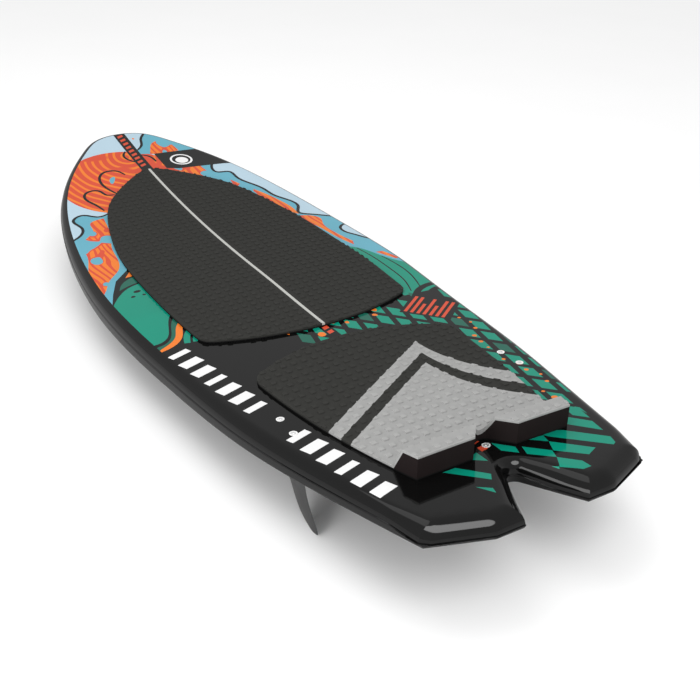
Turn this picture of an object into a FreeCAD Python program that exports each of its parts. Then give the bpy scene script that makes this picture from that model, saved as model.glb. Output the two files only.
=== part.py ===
import FreeCAD, Part
import Sketcher
import math
import os
from FreeCAD import Placement, Rotation, Vector

# A wakesurf board: foam core in two moulded skins, two foam traction pads with a
# kick block at the tail, and three fins screwed on through the deck.
# +Y is the nose, +X the right rail, +Z up. The origin is under the middle of the
# board, at the height of the lowest fin tip. All lengths are millimetres.

doc = FreeCAD.newDocument("WakesurfBoard")
sheet = doc.addObject("Spreadsheet::Sheet", "Sheet")

DIMENSIONS = [
    # board
    ("board_length", 1422.0), ("board_width", 526.0),
    ("mid_thickness", 47.0), ("end_thickness", 28.0),
    ("nose_rocker", 79.0), ("tail_rocker", 49.0), ("flat_length", 120.0),
    ("deck_crown", 6.7), ("deck_rail_radius", 18.0), ("bottom_rail_radius", 3.0),
    ("flat_dressing", 0.15),
    ("skin_thickness", 1.5), ("parting_share", 0.36),
    # swallow tail, half widths and lengths from the tail end
    ("tail_corner_x", 165.0), ("tail_corner_length", 32.0), ("tail_flat_outer_x", 87.0),
    ("tail_flat_inner_x", 47.0), ("notch_depth", 105.0), ("notch_radius", 12.0),
    # traction pads
    ("pad_base_thickness", 2.0), ("pad_top_thickness", 3.0), ("pad_corner_radius", 12.0),
    ("front_pad_from_nose", 181.0), ("front_pad_from_tail", 536.0),
    ("front_pad_half_width", 187.0), ("front_pad_rear_sweep", 45.0),
    ("stripe_width", 5.0),
    ("rear_pad_from_tail", 490.0), ("rear_pad_half_width", 166.0), ("rear_pad_front_sweep", 48.0),
    ("rear_pad_side_bulge", 9.0), ("rear_pad_tail_half_width", 115.0),
    ("rear_pad_end", 118.0),
    ("chevron_apex_x", 87.0), ("chevron_apex_from_tail", 416.0), ("chevron_side_from_tail", 267.0),
    ("light_stripe_width", 34.0), ("dark_stripe_width", 28.0), ("chevron_apex_shift", 12.5),
    # kick block
    ("kick_height", 33.0), ("kick_crest_length", 24.0), ("kick_ramp_run", 13.0),
    ("kick_notch_half_width", 33.0), ("kick_notch_length", 32.0), ("kick_notch_radius", 14.0),
    # fins and their fastenings
    ("side_fin_x", 182.0), ("side_fin_from_tail", 311.0), ("side_fin_toe", 3.2),
    ("centre_fin_from_tail", 152.0), ("centre_fin_scale", 0.78),
    ("fin_depth", 86.0), ("fin_root_thickness", 11.0),
    ("fin_foot_width", 14.0), ("fin_foot_height", 7.0), ("fin_foot_overhang", 3.0),
    ("screw_spacing", 40.0), ("screw_diameter", 6.0), ("screw_head_diameter", 8.0),
    ("screw_head_height", 3.0), ("screw_recess_diameter", 3.6), ("screw_recess_depth", 2.0),
    ("screw_grip", 12.0), ("screw_clearance", 0.2),
    ("cup_flange_diameter", 11.0), ("cup_flange_height", 1.2), ("cup_recess", 0.4),
    ("cup_barrel_diameter", 9.6), ("cup_barrel_length", 8.0),
    ("sleeve_diameter", 9.6), ("sleeve_clearance", 0.1),
    ("insert_diameter", 8.0), ("insert_length", 10.0), ("insert_inset", 0.5), ("thread_clearance", 0.05),
    ("peg_diameter", 6.0), ("peg_length", 10.0), ("peg_clearance", 0.2),
    ("block_length", 120.0), ("block_width", 44.0),
]
for row, (alias, value) in enumerate(DIMENSIONS, start=1):
    sheet.set("A%d" % row, alias)
    sheet.set("B%d" % row, str(value))
    sheet.setAlias("B%d" % row, alias)
doc.recompute()


def size(alias):
    """The value of one driving dimension."""
    return float(getattr(sheet, alias))


HALF = size("board_length") / 2
HALF_WIDTH = size("board_width") / 2
TAIL_END = -HALF
MARGIN = 20.0
BEYOND = 200.0          # further than any part of the board is thick or its pads are long
OVERRUN = 10.0          # how far a drill runs past the surface it starts from
PADS_THICKNESS = size("pad_base_thickness") + size("pad_top_thickness")
TAIL_ROCKER_POWER = 1.8
NOSE_ROCKER_POWER = 2.1
THINNING_POWER = 1.5
# How far the outline's corners move when it is drawn in, as shares of the inset, so that
# the wall between the two outlines keeps an even thickness.
TAIL_CORNER_RISE = 0.3
OUTER_FLAT_SHIFT = 0.2
INNER_FLAT_SHIFT = 1.3
NOTCH_TIP_RISE = 2.2
NOSE_SIDE_SHIFT = 0.3
NOSE_DROP = 0.6
# The swept arm of the chevron: where it ends, and where it bends as shares of its run and drop.
ARM_SIDE_MARGIN = 20.0
ARM_END_RISE = 8.0
ARM_BEND_RUN = 0.33
ARM_BEND_DROP = 0.56
FOOT_END_LAND = 0.2     # flat left between the two rounded corners at each end of a fin's foot

# How full the outline is, as a share of half the width, at shares of the length from the nose.
OUTLINE_FULLNESS = [
    (0.012, 0.236), (0.035, 0.360), (0.070, 0.502), (0.130, 0.688), (0.220, 0.852),
    (0.340, 0.962), (0.480, 1.000), (0.620, 0.951), (0.760, 0.873), (0.880, 0.745),
]
# The fin's outline: depth, leading edge and trailing edge as shares of the fin depth,
# the edges measured forward from the middle of the mount, and the thickness at that depth.
FIN_SECTIONS = [
    (0.00, 0.65, -0.52, 1.00), (0.11, 0.52, -0.52, 0.90), (0.23, 0.37, -0.54, 0.80),
    (0.46, 0.03, -0.60, 0.62), (0.65, -0.12, -0.71, 0.48), (0.80, -0.25, -0.84, 0.38),
    (0.91, -0.40, -0.92, 0.30),
    (0.98, -0.59, -0.91, 0.22), (1.00, -0.71, -0.83, 0.14),
]


def rocker(y):
    """How far the bottom rises above its flat middle stretch."""
    flat = size("flat_length") / 2
    share = max(abs(y) - flat, 0.0) / (HALF - flat)
    if y < 0:
        return size("tail_rocker") * share ** TAIL_ROCKER_POWER
    return size("nose_rocker") * share ** NOSE_ROCKER_POWER


def thickness(y):
    """Board thickness on the centre line."""
    thinning = size("mid_thickness") - size("end_thickness")
    return size("mid_thickness") - thinning * (abs(y) / HALF) ** THINNING_POWER


def bottom_slope(y):
    """Slope of the bottom along +Y."""
    step = 1.0
    return (rocker(y + step) - rocker(y - step)) / (2 * step)


def tilt_at(y):
    """Angle in degrees by which the bottom leans at y, turning about +X."""
    return math.degrees(math.atan(bottom_slope(y)))


def crown_drop(x):
    return size("deck_crown") * (x / HALF_WIDTH) ** 2


def fin_lowest():
    """Lowest point of a side fin, measured from the bottom at its mount."""
    y = TAIL_END + size("side_fin_from_tail")
    lean = math.radians(tilt_at(y))
    depth = size("fin_depth")
    lowest = 0.0
    for share, lead, trail, _ in FIN_SECTIONS:
        for edge in (lead, trail):
            lowest = min(lowest, -share * depth * math.cos(lean) + edge * depth * math.sin(lean))
    return lowest + rocker(y)


BASE = -fin_lowest()


def bottom_height(y):
    return BASE + rocker(y)


def deck_height(x, y):
    return bottom_height(y) + thickness(y) - crown_drop(x)


def stations():
    """Places along the board where its sections are drawn."""
    flat = size("flat_length") / 2
    ends = [HALF * share for share in (0.25, 0.42, 0.58, 0.72, 0.86, 1.0)] + [HALF + MARGIN]
    ahead = [0.5 * flat, flat] + ends
    return [-y for y in reversed(ahead)] + [0.0] + ahead


def crowned_section(y, low, high, flat_below):
    """A closed section at y: the upper edge follows the deck, the lower the bottom or the deck."""
    reach = HALF_WIDTH + 2 * MARGIN
    drop = crown_drop(reach)
    left_low = Vector(-reach, y, low - (0 if flat_below else drop))
    right_low = Vector(reach, y, low - (0 if flat_below else drop))
    right_high = Vector(reach, y, high - drop)
    left_high = Vector(-reach, y, high - drop)
    if flat_below:
        under = Part.LineSegment(left_low, right_low).toShape()
    else:
        under = Part.Arc(left_low, Vector(0, y, low), right_low).toShape()
    sides = [
        Part.LineSegment(right_low, right_high).toShape(),
        Part.Arc(right_high, Vector(0, y, high), left_high).toShape(),
        Part.LineSegment(left_high, left_low).toShape(),
    ]
    return Part.Wire([under] + sides)


def lofted_slab(section_at):
    return Part.makeLoft([section_at(y) for y in stations()], True, False)


def mirrored(point):
    return Vector(-point.x, point.y, point.z)


def prism(edges, low=-BEYOND, high=2 * BEYOND):
    """A vertical prism over a closed plan outline."""
    wire = Part.Wire(Part.__sortEdges__(edges))
    face = Part.Face(wire)
    face.translate(Vector(0, 0, low))
    return face.extrude(Vector(0, 0, high - low))


def polygon_edges(points):
    closed = points + [points[0]]
    return [Part.LineSegment(a, b).toShape() for a, b in zip(closed, closed[1:])]


def board_outline(inset):
    """Plan outline of the board, drawn in by the inset, with its swallow tail."""
    end_y = TAIL_END + inset
    corner_y = TAIL_END + size("tail_corner_length") + TAIL_CORNER_RISE * inset
    corner = Vector(size("tail_corner_x") - inset, corner_y, 0)
    outer = Vector(size("tail_flat_outer_x") - OUTER_FLAT_SHIFT * inset, end_y, 0)
    inner = Vector(size("tail_flat_inner_x") + INNER_FLAT_SHIFT * inset, end_y, 0)
    right = [corner]
    for share, fullness in reversed(OUTLINE_FULLNESS):
        y = HALF - share * size("board_length")
        near_nose = inset * max(0.0, 1 - 4 * share)
        x = fullness * HALF_WIDTH - inset + NOSE_SIDE_SHIFT * near_nose
        right.append(Vector(x, y - NOSE_DROP * near_nose, 0))
    nose = Vector(0, HALF - inset, 0)
    curve = Part.BSplineCurve()
    curve.interpolate(right + [nose] + [mirrored(p) for p in reversed(right)])
    # the notch: two straight sides and a round end
    tip = Vector(0, TAIL_END + size("notch_depth") + NOTCH_TIP_RISE * inset, 0)
    radius = size("notch_radius") + inset
    half_angle = math.atan2(inner.x, tip.y - end_y)
    centre_y = tip.y - radius / math.sin(half_angle)
    touch = Vector(radius * math.cos(half_angle), centre_y + radius * math.sin(half_angle), 0)
    top = Vector(0, centre_y + radius, 0)
    return [
        curve.toShape(),
        Part.LineSegment(mirrored(corner), mirrored(outer)).toShape(),
        Part.LineSegment(mirrored(outer), mirrored(inner)).toShape(),
        Part.LineSegment(mirrored(inner), mirrored(touch)).toShape(),
        Part.Arc(mirrored(touch), top, touch).toShape(),
        Part.LineSegment(touch, inner).toShape(),
        Part.LineSegment(inner, outer).toShape(),
        Part.LineSegment(outer, corner).toShape(),
    ]


def rim_edges(solid, inset, upper):
    """The edges round the deck, or round the bottom, of a board blank."""
    chosen = []
    for edge in solid.Edges:
        middle = edge.valueAt((edge.FirstParameter + edge.LastParameter) / 2)
        first = edge.valueAt(edge.FirstParameter)
        last = edge.valueAt(edge.LastParameter)
        upright = math.hypot(first.x - last.x, first.y - last.y) < 0.01 and edge.Length < 100
        if upper:
            level = deck_height(middle.x, middle.y) - inset
        else:
            level = bottom_height(middle.y) + inset
        if not upright and abs(middle.z - level) < 1.0:
            chosen.append(edge)
    return chosen


def board_blank(inset):
    """The board's outer form, or the same form drawn in by the inset."""
    def section(y):
        low = bottom_height(y) + inset
        high = bottom_height(y) + thickness(y) - inset
        return crowned_section(y, low, high, True)
    block = lofted_slab(section).common(prism(board_outline(inset))).Solids[0]
    block = block.makeFillet(size("deck_rail_radius") - inset, rim_edges(block, inset, True))
    block = block.Solids[0]
    lower_radius = size("bottom_rail_radius") - inset
    block = block.makeFillet(lower_radius, rim_edges(block, inset, False)).Solids[0]
    # the middle of the bottom is dressed to a true plane
    reach = HALF_WIDTH + MARGIN
    plane = BASE + inset + size("flat_dressing")
    below = Part.makeBox(2 * reach, 2 * HALF, BEYOND, Vector(-reach, -HALF, plane - BEYOND))
    return block.cut(below).Solids[0]


def deck_layer(low, high):
    """A sheet that follows the deck, between two heights above it."""
    def section(y):
        level = bottom_height(y) + thickness(y)
        return crowned_section(y, level + low, level + high, False)
    return lofted_slab(section)


def feature(name, shape):
    """A document object for a shape that follows the board's double curvature."""
    thing = doc.addObject("Part::Feature", name)
    thing.Shape = shape
    return thing


def boolean(kind, name, base, tool):
    thing = doc.addObject("Part::" + kind, name)
    thing.Base = base
    thing.Tool = tool
    return thing


def union(name, things):
    thing = doc.addObject("Part::MultiFuse", name)
    thing.Shapes = things
    return thing


def group(name, things):
    thing = doc.addObject("Part::Compound", name)
    thing.Links = things
    return thing


# ---- sketches and bodies ----------------------------------------------------

def origin_plane(body, role):
    return [item for item in body.Origin.OriginFeatures if item.Role == role][0]


def attached_sketch(body, name, role):
    sketch = body.newObject("Sketcher::SketchObject", name)
    sketch.AttachmentSupport = [(origin_plane(body, role), "")]
    sketch.MapMode = "FlatFace"
    return sketch


def evaluate(thing, expression):
    """The plain number that an expression on the sheet gives."""
    return float(thing.evalExpression(expression))


def place_point(sketch, edge, across, up):
    """Tie an edge's start point to two expressions, measured from the sketch origin."""
    for kind, expression in (("DistanceX", across), ("DistanceY", up)):
        value = evaluate(sketch, expression)
        number = sketch.addConstraint(Sketcher.Constraint(kind, -1, 1, edge, 1, value))
        sketch.setExpression("Constraints[%d]" % number, expression)


def turned_body(name, profile):
    """A body turned about its own Z axis from corners given as (radius, height) expressions."""
    body = doc.addObject("PartDesign::Body", name)
    sketch = attached_sketch(body, name + "_profile", "XZ_Plane")
    corners = [Vector(evaluate(sketch, r), evaluate(sketch, z), 0) for r, z in profile]
    for start, end in zip(corners, corners[1:] + corners[:1]):
        sketch.addGeometry(Part.LineSegment(start, end), False)
    count = len(corners)
    for number in range(count):
        sketch.addConstraint(Sketcher.Constraint("Coincident", number, 2, (number + 1) % count, 1))
    for number, (radius, height) in enumerate(profile):
        place_point(sketch, number, radius, height)
    turn = body.newObject("PartDesign::Revolution", name + "_turn")
    turn.Profile = sketch
    turn.ReferenceAxis = (sketch, ["V_Axis"])
    turn.Angle = 360
    body.Tip = turn
    return body


def fin_loft(name, scale):
    """A raked fin hanging below its own XY plane, lofted through its foil sections."""
    body = doc.addObject("PartDesign::Body", name)
    sections = []
    for number, (share, lead, trail, width) in enumerate(FIN_SECTIONS):
        sketch = attached_sketch(body, "%s_section_%d" % (name, number), "XY_Plane")
        front = "Sheet.fin_depth * %g * %g" % (lead, scale)
        back = "Sheet.fin_depth * %g * %g" % (trail, scale)
        half_thick = "Sheet.fin_root_thickness * %g / 2" % width
        chord = "(%s - (%s))" % (front, back)
        radius = "(%s^2 / 4 + (%s)^2) / (2 * %s)" % (chord, half_thick, half_thick)
        lead_point = Vector(0, evaluate(sketch, front), 0)
        trail_point = Vector(0, evaluate(sketch, back), 0)
        bulge = evaluate(sketch, half_thick)
        middle = (lead_point.y + trail_point.y) / 2
        sketch.addGeometry(Part.Arc(trail_point, Vector(bulge, middle, 0), lead_point), False)
        sketch.addGeometry(Part.Arc(lead_point, Vector(-bulge, middle, 0), trail_point), False)
        sketch.addConstraint(Sketcher.Constraint("Coincident", 0, 2, 1, 1))
        sketch.addConstraint(Sketcher.Constraint("Coincident", 1, 2, 0, 1))
        sketch.addConstraint(Sketcher.Constraint("PointOnObject", 0, 1, -2))
        sketch.addConstraint(Sketcher.Constraint("PointOnObject", 0, 2, -2))
        for point, expression in ((1, back), (2, front)):
            value = evaluate(sketch, expression)
            tie = sketch.addConstraint(Sketcher.Constraint("DistanceY", -1, 1, 0, point, value))
            sketch.setExpression("Constraints[%d]" % tie, expression)
        for arc in (0, 1):
            tie = sketch.addConstraint(Sketcher.Constraint("Radius", arc, evaluate(sketch, radius)))
            sketch.setExpression("Constraints[%d]" % tie, radius)
        sketch.setExpression("AttachmentOffset.Base.z", "-Sheet.fin_depth * %g * %g" % (share, scale))
        sections.append(sketch)
    loft = body.newObject("PartDesign::AdditiveLoft", name + "_loft")
    loft.Profile = sections[0]
    loft.Sections = sections[1:]
    loft.Ruled = False
    body.Tip = loft
    return body


def cylinder(name, radius, height, placement, drop="0"):
    """A cylinder along its own Z, lowered by an expression, then placed."""
    thing = doc.addObject("Part::Cylinder", name)
    thing.setExpression("Radius", radius)
    thing.setExpression("Height", height)
    lowered = Placement(Vector(0, 0, -evaluate(thing, drop)), Rotation())
    thing.Placement = placement.multiply(lowered)
    return thing


# ---- board ------------------------------------------------------------------

board = feature("board_form", board_blank(0.0))
core_form = feature("core_form", board_blank(size("skin_thickness")))


def above_parting(y):
    low = bottom_height(y) + size("parting_share") * thickness(y)
    return crowned_section(y, low, low + BEYOND, True)


upper_half = feature("upper_half", lofted_slab(above_parting))
shell = boolean("Cut", "shell", board, core_form)


# ---- fins, their inserts, screws, sleeves, cups and core blocks ---------------

def mount_frame(x, from_tail, toe):
    """Where a fin meets the bottom: leaned with the rocker, turned by its toe angle."""
    y = TAIL_END + from_tail
    turn = Rotation(Vector(1, 0, 0), tilt_at(y)).multiply(Rotation(Vector(0, 0, 1), toe))
    return Placement(Vector(x, y, bottom_height(y)), turn)


def deck_reach(frame, along):
    """Distance from the fin's mounting plane up to the deck, on the axis of one screw."""
    reach = thickness(frame.Base.y)
    for _ in range(20):
        point = frame.multVec(Vector(0, along, reach))
        reach += deck_height(point.x, point.y) - point.z
    return reach


SCREW_RADIUS = "Sheet.screw_diameter / 2"
RECESS_RADIUS = "Sheet.screw_recess_diameter / 2"
SCREW_HOLE = "(Sheet.screw_diameter / 2 + Sheet.screw_clearance)"
SLEEVE_HOLE = "(Sheet.sleeve_diameter / 2 + Sheet.sleeve_clearance)"
FLANGE_TOP = "(Sheet.cup_flange_height - Sheet.cup_recess)"

nodes = {}
holes_through = []
core_blocks = []


def fit_out(side, frame, fin_scale, offsets, peg_offset):
    """One fin with everything that holds it, named after its side of the board."""
    spots = []
    for along in offsets:
        spots.append((along, deck_reach(frame, along)))
    block = doc.addObject("Part::Box", side + "_block_stock")
    block.setExpression("Length", "Sheet.block_width")
    block.setExpression("Width", "Sheet.block_length")
    block.Height = BEYOND
    corner = Vector(-size("block_width") / 2, -size("block_length") / 2, -BEYOND / 2)
    block.Placement = frame.multiply(Placement(corner, Rotation()))
    core_blocks.append(block)

    screws, cups, sleeves, inserts = [], [], [], []
    insert_holes, bores = [], []
    for number, (along, reach) in enumerate(spots):
        tag = "%s_%d" % (side, number)
        foot_spot = frame.multiply(Placement(Vector(0, along, 0), Rotation()))
        deck_spot = frame.multiply(Placement(Vector(0, along, reach), Rotation()))
        screw_end = "-(%.4f + Sheet.screw_grip)" % reach
        head_edge = "Sheet.screw_head_diameter / 2"
        screw = turned_body("screw_" + tag, [
            ("0", FLANGE_TOP + " - Sheet.screw_recess_depth"),
            (RECESS_RADIUS, FLANGE_TOP + " - Sheet.screw_recess_depth"),
            (RECESS_RADIUS, FLANGE_TOP),
            (head_edge, FLANGE_TOP),
            (SCREW_RADIUS, FLANGE_TOP + " - Sheet.screw_head_height"),
            (SCREW_RADIUS, screw_end),
            ("0", screw_end),
        ])
        screw.Placement = deck_spot
        screws.append(screw)
        cup = turned_body("cup_" + tag, [
            (SCREW_HOLE, "-Sheet.cup_barrel_length"),
            ("Sheet.cup_barrel_diameter / 2", "-Sheet.cup_barrel_length"),
            ("Sheet.cup_barrel_diameter / 2", "-Sheet.cup_recess"),
            ("Sheet.cup_flange_diameter / 2", "-Sheet.cup_recess"),
            ("Sheet.cup_flange_diameter / 2", FLANGE_TOP),
            (head_edge + " + Sheet.screw_clearance", FLANGE_TOP),
            (SCREW_HOLE, FLANGE_TOP + " - Sheet.screw_head_height"),
        ])
        cup.Placement = deck_spot
        cups.append(cup)
        sleeve_top = "%.4f - Sheet.cup_barrel_length" % reach
        sleeve = turned_body("sleeve_" + tag, [
            (SCREW_HOLE, "0"),
            ("Sheet.sleeve_diameter / 2", "0"),
            ("Sheet.sleeve_diameter / 2", sleeve_top),
            (SCREW_HOLE, sleeve_top),
        ])
        sleeve.Placement = foot_spot
        sleeves.append(sleeve)
        insert_top = "-Sheet.insert_inset"
        insert_end = "-(Sheet.insert_inset + Sheet.insert_length)"
        thread = "(Sheet.screw_diameter / 2 + Sheet.thread_clearance)"
        insert = turned_body("insert_" + tag, [
            (thread, insert_end),
            ("Sheet.insert_diameter / 2", insert_end),
            ("Sheet.insert_diameter / 2", insert_top),
            (thread, insert_top),
        ])
        insert.Placement = foot_spot
        inserts.append(insert)
        depth = "Sheet.insert_inset + Sheet.insert_length"
        hole = cylinder("insert_hole_" + tag, "Sheet.insert_diameter / 2", depth, foot_spot, depth)
        insert_holes.append(hole)
        depth = "(Sheet.screw_grip + 1)"
        insert_holes.append(cylinder("tip_hole_" + tag, SCREW_HOLE, depth, foot_spot, depth))
        bores.append(cylinder("bore_" + tag, SLEEVE_HOLE, "%.4f + %g" % (reach, 2 * OVERRUN), foot_spot,
                              "%g" % OVERRUN))
        flange_hole = "Sheet.cup_flange_diameter / 2 + Sheet.sleeve_clearance"
        bores.append(cylinder("recess_" + tag, flange_hole, "%g" % OVERRUN, deck_spot, "Sheet.cup_recess"))

    foil = fin_loft(side + "_foil", fin_scale)
    foil.Placement = frame
    foot = doc.addObject("Part::Box", side + "_foot_stock")
    lead = FIN_SECTIONS[0][1] * fin_scale
    trail = FIN_SECTIONS[0][2] * fin_scale
    foot.setExpression("Length", "Sheet.fin_foot_width")
    foot.setExpression("Width", "Sheet.fin_depth * %g + 2 * Sheet.fin_foot_overhang" % (lead - trail))
    foot.setExpression("Height", "Sheet.fin_foot_height")
    start = Vector(-size("fin_foot_width") / 2, size("fin_depth") * trail - size("fin_foot_overhang"),
                   -size("fin_foot_height"))
    rounded = doc.addObject("Part::Fillet", side + "_foot")
    rounded.Base = foot
    doc.recompute()
    upright = [n for n, edge in enumerate(foot.Shape.Edges, 1) if abs(edge.tangentAt(0).z) > 0.9]
    nearly_half = size("fin_foot_width") / 2 - FOOT_END_LAND
    rounded.Edges = [(n, nearly_half, nearly_half) for n in upright]
    rounded.Placement = frame.multiply(Placement(start, Rotation()))
    solids = [foil, rounded]
    if peg_offset is not None:
        peg_spot = frame.multiply(Placement(Vector(0, peg_offset, 0), Rotation()))
        solids.append(cylinder(side + "_peg", "Sheet.peg_diameter / 2",
                               "Sheet.peg_length + Sheet.fin_foot_height / 2", peg_spot,
                               "Sheet.fin_foot_height / 2"))
        bores.append(cylinder(side + "_peg_socket", "Sheet.peg_diameter / 2 + Sheet.peg_clearance",
                              "Sheet.peg_length + Sheet.peg_clearance + %g" % OVERRUN, peg_spot,
                              "%g" % OVERRUN))
    raw = union(side + "_fin_solid", solids)
    insert_tool = union(side + "_insert_holes", insert_holes)
    nodes[side + "_fin"] = boolean("Cut", side + "_fin_cut", raw, insert_tool)
    nodes[side + "_fin_screws"] = group(side + "_screws", screws)
    nodes[side + "_deck_cups"] = group(side + "_cups", cups)
    nodes[side + "_screw_sleeves"] = group(side + "_sleeves", sleeves)
    nodes[side + "_fin_inserts"] = group(side + "_inserts", inserts)
    bore_tool = union(side + "_bores", bores)
    holes_through.append(bore_tool)
    in_core = boolean("Common", side + "_block_solid", core_form, block)
    nodes[side + "_fin_block"] = boolean("Cut", side + "_block_bored", in_core, bore_tool)


half_spacing = size("screw_spacing") / 2
for side, sign in (("left", -1), ("right", 1)):
    mount = mount_frame(sign * size("side_fin_x"), size("side_fin_from_tail"), sign * size("side_fin_toe"))
    fit_out(side, mount, 1.0, (half_spacing, -half_spacing), None)
middle_mount = mount_frame(0.0, size("centre_fin_from_tail"), 0.0)
fit_out("centre", middle_mount, size("centre_fin_scale"), (-half_spacing,), half_spacing)

all_holes = union("all_holes", holes_through)
all_blocks = union("all_blocks", core_blocks)
nodes["foam_core"] = boolean("Cut", "core", core_form, all_blocks)
deck_half = boolean("Common", "deck_half", shell, upper_half)
nodes["deck_skin"] = boolean("Cut", "deck_laminate", deck_half, all_holes)
bottom_half = boolean("Cut", "bottom_half", shell, upper_half)
nodes["bottom_skin"] = boolean("Cut", "bottom_laminate", bottom_half, all_holes)


# ---- traction pads ----------------------------------------------------------

def round_corners(block, corners, radius):
    """Round the vertical edges of a prism that stand at the given plan points."""
    chosen = []
    for edge in block.Edges:
        spot = edge.Vertexes[0].Point
        upright = len(edge.Vertexes) == 2 and abs(spot.z - edge.Vertexes[-1].Point.z) > 100
        near = [c for c in corners if math.hypot(spot.x - c.x, spot.y - c.y) < 0.1]
        if upright and near:
            chosen.append(edge)
    return block.makeFillet(radius, chosen)


# The front pad's side: share of the pad's length from its front, share of its half width.
FRONT_PAD_SIDE = [
    (0.038, 0.25), (0.106, 0.50), (0.162, 0.65), (0.224, 0.755), (0.339, 0.875),
    (0.477, 0.965), (0.650, 1.0), (0.848, 1.0), (1.0, 0.965),
]


def front_pad_outline():
    front_y = HALF - size("front_pad_from_nose")
    rear_y = TAIL_END + size("front_pad_from_tail")
    corner_y = rear_y + size("front_pad_rear_sweep")
    side = []
    for along, across in FRONT_PAD_SIDE:
        y = front_y + along * (corner_y - front_y)
        side.append(Vector(across * size("front_pad_half_width"), y, 0))
    curve = Part.BSplineCurve()
    curve.interpolate([mirrored(p) for p in reversed(side)] + [Vector(0, front_y, 0)] + side)
    corner = side[-1]
    rear = Part.Arc(corner, Vector(0, rear_y, 0), mirrored(corner))
    block = prism([curve.toShape(), rear.toShape()])
    return round_corners(block, [corner, mirrored(corner)], size("pad_corner_radius"))


def rear_pad_outline():
    front_y = TAIL_END + size("rear_pad_from_tail")
    end_y = TAIL_END + size("rear_pad_end")
    corner = Vector(size("rear_pad_half_width"), front_y - size("rear_pad_front_sweep"), 0)
    rear = Vector(size("rear_pad_tail_half_width"), end_y, 0)
    belly = Vector((corner.x + rear.x) / 2 + size("rear_pad_side_bulge"), (corner.y + rear.y) / 2, 0)
    # a straight-sided notch with a round end, tangent to the sides
    mouth = Vector(size("kick_notch_half_width"), end_y, 0)
    radius = size("kick_notch_radius")
    centre = Vector(0, end_y + size("kick_notch_length") - radius, 0)
    distance = math.hypot(mouth.x, mouth.y - centre.y)
    bearing = math.atan2(mouth.y - centre.y, mouth.x) + math.acos(radius / distance)
    touch = centre + Vector(radius * math.cos(bearing), radius * math.sin(bearing), 0)
    top = Vector(0, centre.y + radius, 0)
    edges = [
        Part.Arc(mirrored(corner), Vector(0, front_y, 0), corner).toShape(),
        Part.Arc(corner, belly, rear).toShape(),
        Part.LineSegment(rear, mouth).toShape(),
        Part.LineSegment(mouth, touch).toShape(),
        Part.Arc(touch, top, mirrored(touch)).toShape(),
        Part.LineSegment(mirrored(touch), mirrored(mouth)).toShape(),
        Part.LineSegment(mirrored(mouth), mirrored(rear)).toShape(),
        Part.Arc(mirrored(rear), mirrored(belly), mirrored(corner)).toShape(),
    ]
    block = prism(edges)
    return round_corners(block, [corner, mirrored(corner)], size("pad_corner_radius"))


def behind_chevron(back, across):
    """Everything behind a chevron line: straight on the left, swept back on the right."""
    apex = Vector(size("chevron_apex_x") - across, TAIL_END + size("chevron_apex_from_tail") - back, 0)
    side_y = TAIL_END + size("chevron_side_from_tail") - back
    side_x = size("rear_pad_half_width") - ARM_SIDE_MARGIN - across
    drop = apex.y - side_y
    left = Vector(-side_x - 2 * across, side_y, 0)
    outward = (left - apex).normalize()
    far_left = left + outward * BEYOND
    end = Vector(side_x, side_y + ARM_END_RISE, 0)
    bend_x = apex.x + ARM_BEND_RUN * (end.x - apex.x)
    middle = Vector(bend_x, apex.y - ARM_BEND_DROP * drop, 0)
    arm = Part.Arc(apex, middle, end)
    direction = arm.tangent(arm.LastParameter)[0].normalize()
    far_right = end + direction * BEYOND
    back_right = Vector(far_right.x, TAIL_END - BEYOND, 0)
    back_left = Vector(far_left.x, TAIL_END - BEYOND, 0)
    straight = [(far_right, back_right), (back_right, back_left), (back_left, far_left), (far_left, apex)]
    edges = [arm.toShape(), Part.LineSegment(end, far_right).toShape()]
    edges += [Part.LineSegment(a, b).toShape() for a, b in straight]
    return prism(edges)


BASE_TOP = size("pad_base_thickness")
KICK_TOP = size("kick_height")
CREST_Y = TAIL_END + size("rear_pad_end") + size("kick_crest_length")
RAMP_FOOT_Y = CREST_Y + size("kick_ramp_run")


def behind_ramp(inward):
    """Everything behind the kick's steep front face, moved back by a distance square to it."""
    run = size("kick_ramp_run")
    rise = KICK_TOP - PADS_THICKNESS
    shift = inward * math.hypot(run, rise) / rise
    foot = Vector(0, RAMP_FOOT_Y - shift, deck_height(0, RAMP_FOOT_Y) + PADS_THICKNESS)
    crest = Vector(0, CREST_Y - shift, deck_height(0, CREST_Y) + KICK_TOP)
    upward = crest - foot
    low = foot - upward * 2
    high = crest + upward * 2
    back = TAIL_END - BEYOND
    corners = [low, high, Vector(0, back, high.z), Vector(0, back, low.z)]
    face = Part.Face(Part.Wire(polygon_edges(corners)))
    reach = HALF_WIDTH + MARGIN
    face.translate(Vector(-reach, 0, 0))
    return face.extrude(Vector(2 * reach, 0, 0))


base_sheet = feature("base_sheet", deck_layer(0, BASE_TOP))
top_sheet = feature("top_sheet", deck_layer(BASE_TOP, PADS_THICKNESS))
front_plan = feature("front_pad_plan", front_pad_outline())
rear_plan = feature("rear_pad_plan", rear_pad_outline())

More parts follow.
